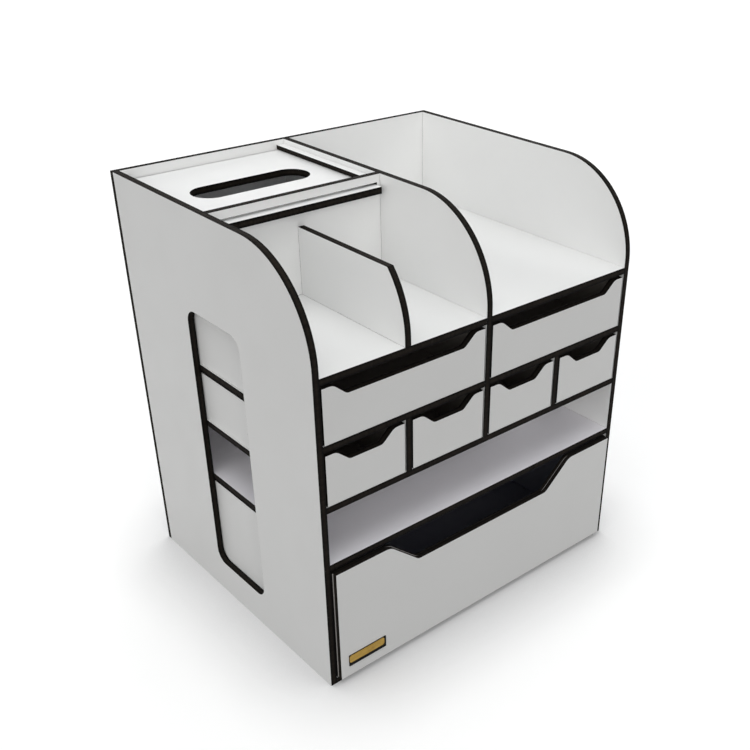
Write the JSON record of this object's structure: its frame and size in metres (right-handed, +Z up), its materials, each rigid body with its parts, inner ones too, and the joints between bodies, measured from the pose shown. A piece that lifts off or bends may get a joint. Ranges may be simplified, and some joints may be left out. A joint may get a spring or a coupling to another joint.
{
  "type": "hobby workstation organizer",
  "caption": "Desktop organizer of laminated board with sliding drawers, an open shelf, arced sides with windows, and a tissue compartment with a sliding lid.",
  "frame": {"origin": "bottom centre of the box around everything at rest", "axes": "+X to the right side, +Y to the back, so the drawers open towards -Y, +Z up"},
  "size_m": [0.35, 0.2928, 0.3835],
  "materials": {
    "board": "white laminate on both faces, dark cut edges",
    "plate": "brushed",
    "backing": "matte"
  },
  "bodies": {
    "case": {"left_side_panel": "board", "right_side_panel": "board", "centre_divider": "board", "back_panel": "board", "base_panel": "board", "lower_shelf": "board", "middle_shelf": "board", "upper_shelf_left": "board", "upper_shelf_right": "board", "deck_left": "board", "deck_right": "board", "small_divider_left": "board", "small_divider_right": "board", "tissue_front_wall": "board", "compartment_divider": "board", "upper_rail_left": "board", "upper_rail_right": "board", "lower_rail_left": "board", "lower_rail_right": "board"},
    "tissue_lid": {"tissue_lid": "board"},
    "wide_drawer_left": {"wide_drawer_left_front": "board", "wide_drawer_left_left": "board", "wide_drawer_left_right": "board", "wide_drawer_left_back": "board", "wide_drawer_left_bottom": "board"},
    "wide_drawer_right": {"wide_drawer_right_front": "board", "wide_drawer_right_left": "board", "wide_drawer_right_right": "board", "wide_drawer_right_back": "board", "wide_drawer_right_bottom": "board"},
    "small_drawer_1": {"small_drawer_1_front": "board", "small_drawer_1_left": "board", "small_drawer_1_right": "board", "small_drawer_1_back": "board", "small_drawer_1_bottom": "board"},
    "small_drawer_2": {"small_drawer_2_front": "board", "small_drawer_2_left": "board", "small_drawer_2_right": "board", "small_drawer_2_back": "board", "small_drawer_2_bottom": "board"},
    "small_drawer_3": {"small_drawer_3_front": "board", "small_drawer_3_left": "board", "small_drawer_3_right": "board", "small_drawer_3_back": "board", "small_drawer_3_bottom": "board"},
    "small_drawer_4": {"small_drawer_4_front": "board", "small_drawer_4_left": "board", "small_drawer_4_right": "board", "small_drawer_4_back": "board", "small_drawer_4_bottom": "board"},
    "big_drawer": {"big_drawer_front": "board", "big_drawer_left": "board", "big_drawer_right": "board", "big_drawer_back": "board", "big_drawer_bottom": "board", "big_drawer_overlay": "board", "name_plate_backing": "backing", "name_plate": "plate"}
  },
  "joints": [
    {"name": "tissue_lid_slide", "type": "slide", "parent": "case", "child": "tissue_lid", "axis": [0, -1, 0], "range_m": [0, 0.13]},
    {"name": "wide_drawer_left_slide", "type": "slide", "parent": "case", "child": "wide_drawer_left", "axis": [0, -1, 0], "range_m": [0, 0.22]},
    {"name": "wide_drawer_right_slide", "type": "slide", "parent": "case", "child": "wide_drawer_right", "axis": [0, -1, 0], "range_m": [0, 0.22]},
    {"name": "small_drawer_1_slide", "type": "slide", "parent": "case", "child": "small_drawer_1", "axis": [0, -1, 0], "range_m": [0, 0.22]},
    {"name": "small_drawer_2_slide", "type": "slide", "parent": "case", "child": "small_drawer_2", "axis": [0, -1, 0], "range_m": [0, 0.22]},
    {"name": "small_drawer_3_slide", "type": "slide", "parent": "case", "child": "small_drawer_3", "axis": [0, -1, 0], "range_m": [0, 0.22]},
    {"name": "small_drawer_4_slide", "type": "slide", "parent": "case", "child": "small_drawer_4", "axis": [0, -1, 0], "range_m": [0, 0.22]},
    {"name": "big_drawer_slide", "type": "slide", "parent": "case", "child": "big_drawer", "axis": [0, -1, 0], "range_m": [0, 0.22]}
  ]
}
